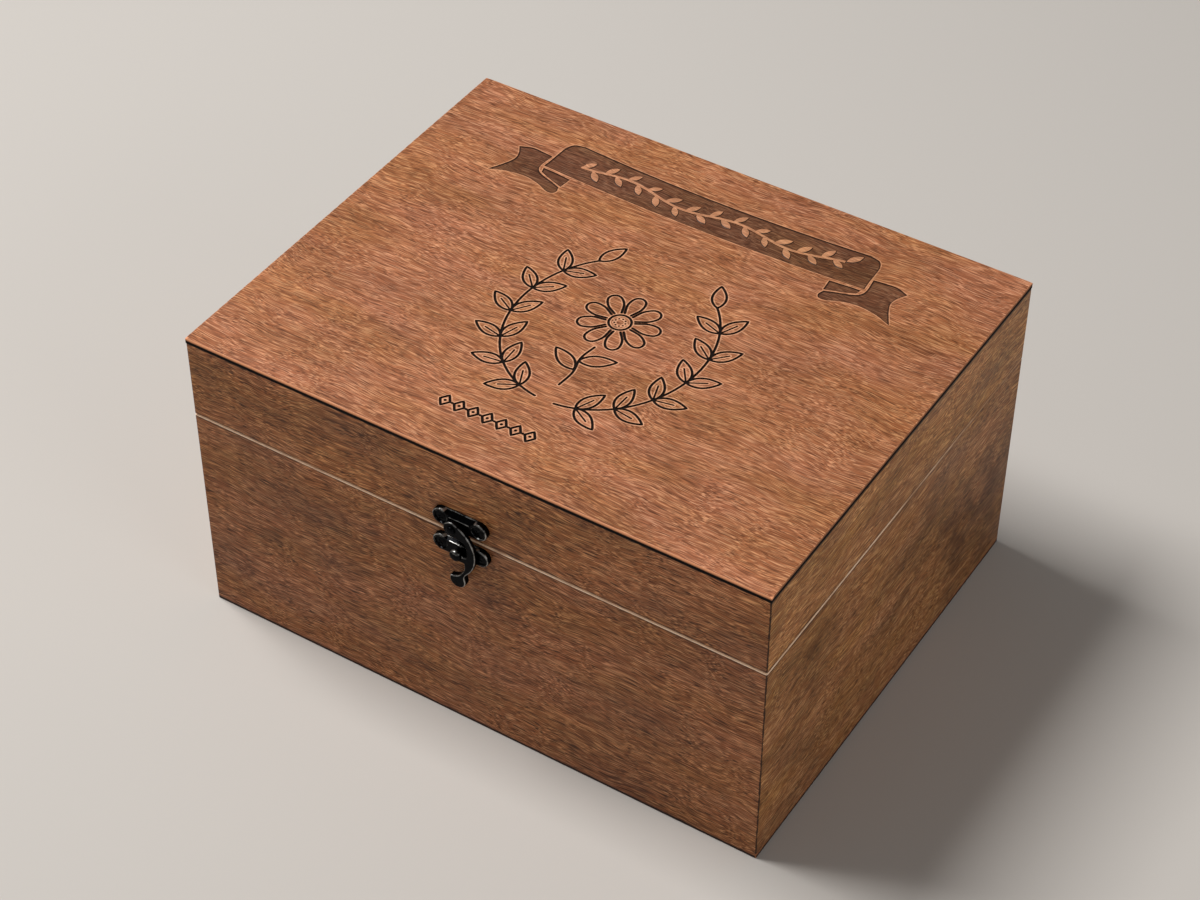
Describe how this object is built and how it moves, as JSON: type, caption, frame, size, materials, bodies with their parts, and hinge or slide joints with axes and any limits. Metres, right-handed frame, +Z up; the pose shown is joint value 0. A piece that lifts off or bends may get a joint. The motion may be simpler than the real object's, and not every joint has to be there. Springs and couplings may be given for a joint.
{
  "type": "keepsake box",
  "caption": "Rectangular wooden keepsake box with a hinged lid, surface hinges on the back and a swing-hook clasp on the front.",
  "frame": {"origin": "middle of the underside, on the surface that the box stands on", "axes": "+Z up, +X to the right seen from the front along the long side, -Y out of the front, where the clasp is"},
  "size_m": [0.3, 0.2496, 0.164],
  "materials": {
    "stained_wood": "brown stained, satin, fine grain",
    "black_bronze": "blackened, semi-gloss, worn at the edges"
  },
  "bodies": {
    "case": {"case_front_wall": "stained_wood", "case_back_wall": "stained_wood", "case_left_wall": "stained_wood", "case_right_wall": "stained_wood", "case_bottom_panel": "stained_wood", "catch_plate": "black_bronze", "catch_plate_screws": "black_bronze", "catch_post": "black_bronze", "left_hinge_case_leaf": "black_bronze", "left_hinge_pin": "black_bronze", "left_hinge_case_screws": "black_bronze", "right_hinge_case_leaf": "black_bronze", "right_hinge_pin": "black_bronze", "right_hinge_case_screws": "black_bronze"},
    "lid": {"lid_front_wall": "stained_wood", "lid_back_wall": "stained_wood", "lid_left_wall": "stained_wood", "lid_right_wall": "stained_wood", "lid_top_panel": "stained_wood", "hook_plate": "black_bronze", "hook_plate_screws": "black_bronze", "hook_rivet": "black_bronze", "left_hinge_lid_leaf": "black_bronze", "left_hinge_lid_screws": "black_bronze", "right_hinge_lid_leaf": "black_bronze", "right_hinge_lid_screws": "black_bronze"},
    "hook": {"swing_hook": "black_bronze"}
  },
  "joints": [
    {"name": "lid_hinge", "type": "hinge", "parent": "case", "child": "lid", "pos_m": [0, 0.121, 0.119], "axis": [-1, 0, 0], "range_deg": [0, 180]},
    {"name": "hook_swivel", "type": "hinge", "parent": "lid", "child": "hook", "pos_m": [-0.0046, -0.1234, 0.1253], "axis": [0, -1, 0], "range_deg": [0, 300]}
  ]
}
